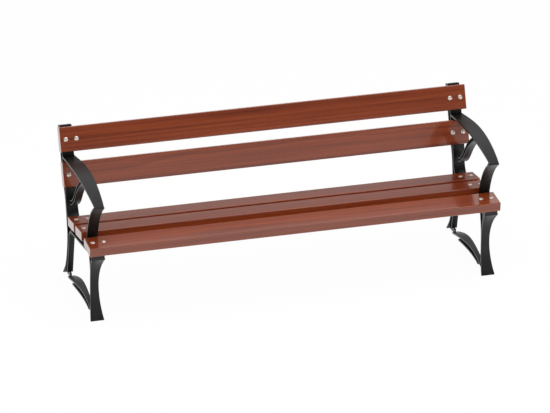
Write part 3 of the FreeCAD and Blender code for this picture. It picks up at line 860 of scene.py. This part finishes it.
    def washer(self, made: Tree, inputs: dict[str, bpy.types.NodeSocket]) -> bpy.types.NodeSocket:
        """The flat washer, against the lug's rear face.

        Args:
            made: the tree.
            inputs: the tree's named lengths.

        Returns:
            The part's geometry.
        """
        disc = made.add("GeometryNodeMeshCylinder", inputs={
            "Vertices": self.washer_sides, "Radius": inputs["Washer Radius"],
            "Depth": inputs["Washer Thickness"]}, output="Mesh")
        middle = made.math("ADD", inputs["Lug Face"], made.math("MULTIPLY", inputs["Washer Thickness"], 0.5))
        return made.moved(disc, made.vector(z=made.math("MULTIPLY", middle, -1.0)))

    def nut(self, made: Tree, inputs: dict[str, bpy.types.NodeSocket]) -> bpy.types.NodeSocket:
        """The hexagon nut: six flats, and a round collar that stands out at both faces.

        Args:
            made: the tree.
            inputs: the tree's named lengths.

        Returns:
            The part's geometry.
        """
        height = inputs["Nut Height"]
        top = made.math("ADD", inputs["Lug Face"], inputs["Washer Thickness"])
        prism = made.add("GeometryNodeMeshCylinder", inputs={
            "Vertices": 6, "Radius": inputs["Nut Radius"],
            "Depth": made.math("MULTIPLY", height, self.flats_share)}, output="Mesh")
        collar = made.add("GeometryNodeMeshCylinder", inputs={
            "Vertices": self.collar_sides,
            "Radius": made.math("MULTIPLY", inputs["Nut Radius"], self.collar_share),
            "Depth": height}, output="Mesh")
        both = made.add("GeometryNodeJoinGeometry", inputs={"Geometry": [prism, collar]})
        middle = made.math("ADD", top, made.math("MULTIPLY", height, 0.5))
        return made.moved(both, made.vector(z=made.math("MULTIPLY", middle, -1.0)))


# ---------------------------------------------------------------- studio
@dataclass
class Studio:
    """Pale floor, soft light and the camera."""

    target: tuple[float, float, float] = (-0.048, -0.105, 0.403)
    azimuth: float = 15.925
    elevation: float = 23.19
    distance: float = 25.0
    lens: float = 347.4
    floor_reach: float = 90.0
    floor_glow: float = 0.965
    floor_gleam: float = 0.25
    sky_strength: float = 0.78

    def build(self) -> None:
        """Makes the floor, the world, the lamps and the camera."""
        self.floor()
        self.world()
        self.lamp("overhead_softbox", (0.2, -0.8, 3.4), (0.2, -0.6, 0.4), (4.2, 2.4), 78.0)
        panel = self.lamp("front_panel", (0.2, -1.5, 0.52), (0.2, 0.0, 0.52), (5.0, 1.02), 17.0)
        panel.visible_diffuse = False
        self.camera()
        bpy.context.scene.view_settings.view_transform = "Standard"

    def floor(self) -> None:
        """A white floor that shows the bench's shadow faintly."""
        mesh = bpy.data.meshes.new("floor")
        reach = self.floor_reach
        mesh.from_pydata([(-reach, -reach, 0), (reach, -reach, 0), (reach, reach, 0), (-reach, reach, 0)],
                         [], [(0, 1, 2, 3)])
        material = bpy.data.materials.new("studio_floor")
        material.use_nodes = True
        graph = Graph(material.node_tree)
        paint = graph.add("ShaderNodeBsdfPrincipled", inputs={
            "Base Color": (0.86, 0.86, 0.86, 1.0), "Roughness": 0.9, "Specular IOR Level": 0.0})
        seen = graph.add("ShaderNodeLightPath", output="Is Camera Ray")
        mirrored = graph.add("ShaderNodeLightPath", output="Is Glossy Ray")
        through = graph.add("ShaderNodeLightPath", output="Is Transmission Ray")
        glow = graph.add("ShaderNodeEmission", inputs={
            "Color": (1, 1, 1, 1), "Strength": 1.0 + mirrored * self.floor_gleam})
        share = (seen + mirrored + through) * self.floor_glow
        surface = graph.add("ShaderNodeMixShader", inputs={0: share, 1: paint, 2: glow})
        graph.add("ShaderNodeOutputMaterial", inputs={"Surface": surface})
        floor = shown("studio_floor", mesh, material)

    def world(self) -> None:
        """An even sky for light, white to the eye, and darker in front for reflections."""
        world = bpy.data.worlds.new("studio")
        bpy.context.scene.world = world
        world.use_nodes = True
        graph = Graph(world.node_tree)
        direction = graph.add("ShaderNodeTexCoord", output="Generated")
        towards_back = graph.add("ShaderNodeSeparateXYZ", inputs={"Vector": direction}, output="Y")
        upwards = graph.add("ShaderNodeSeparateXYZ", inputs={"Vector": direction}, output="Z")
        mirrored_sky = (graph.span(upwards, 0.12, 0.62, 0.24, 1.20)
                        * graph.span(towards_back, -0.20, 0.70, 0.02, 1.0))
        seen = graph.add("ShaderNodeLightPath", output="Is Camera Ray")
        glossy = graph.add("ShaderNodeLightPath", output="Is Glossy Ray")
        through = graph.add("ShaderNodeLightPath", output="Is Transmission Ray")
        diffuse = 1 - seen - glossy - through
        strength = seen + through + glossy * mirrored_sky + diffuse * self.sky_strength
        sky = graph.add("ShaderNodeBackground", inputs={"Color": (1, 1, 1, 1), "Strength": strength})
        graph.add("ShaderNodeOutputWorld", inputs={"Surface": sky})

    def lamp(self, name: str, place: Sequence[float], aim: Sequence[float],
             size: tuple[float, float], power: float) -> bpy.types.Object:
        """Adds one soft lamp.

        Args:
            name: the lamp's name.
            place: where it stands.
            aim: what it points at.
            size: width and height of its panel.
            power: watts.

        Returns:
            The lamp's object.
        """
        light = bpy.data.lights.new(name, "AREA")
        light.shape = "RECTANGLE"
        light.size, light.size_y = size
        light.energy = power
        lamp = bpy.data.objects.new(name, light)
        lamp.location = place
        lamp.rotation_euler = (Vector(aim) - Vector(place)).to_track_quat("-Z", "Y").to_euler()
        bpy.context.scene.collection.objects.link(lamp)
        return lamp

    def camera(self) -> None:
        """Adds the camera, far off with a long lens."""
        turn, rise = math.radians(self.azimuth), math.radians(self.elevation)
        back = Vector((-math.sin(turn) * math.cos(rise), -math.cos(turn) * math.cos(rise), math.sin(rise)))
        data = bpy.data.cameras.new("camera")
        data.lens = self.lens
        data.sensor_width = 36.0
        data.clip_start, data.clip_end = 1.0, 300.0
        camera = bpy.data.objects.new("camera", data)
        camera.location = Vector(self.target) + back * self.distance
        camera.rotation_euler = (-back).to_track_quat("-Z", "Y").to_euler()
        bpy.context.scene.collection.objects.link(camera)
        bpy.context.scene.camera = camera


def main() -> None:
    """Builds the bench piece by piece, then the studio."""
    logging.basicConfig(level=logging.INFO, format="%(name)s: %(message)s")
    coat = CoatedCasting("black_coat")
    for side in Side:
        EndFrame(side, coat).build()
    zinc = ZincPlate("zinc_plate")
    for slat in (Slat("front_seat_slat", tilt=4.7, seed=1.0),
                 Slat("middle_seat_slat", tilt=-6.7, seed=2.0),
                 Slat("rear_seat_slat", tilt=-6.7, seed=3.0),
                 Slat("lower_back_slat", tilt=71.6, seed=4.0),
                 Slat("upper_back_slat", tilt=71.6, seed=5.0)):
        slat.build()
        FastenerRow(slat, zinc).build()
    Studio().build()


if __name__ == "__main__":
    main()
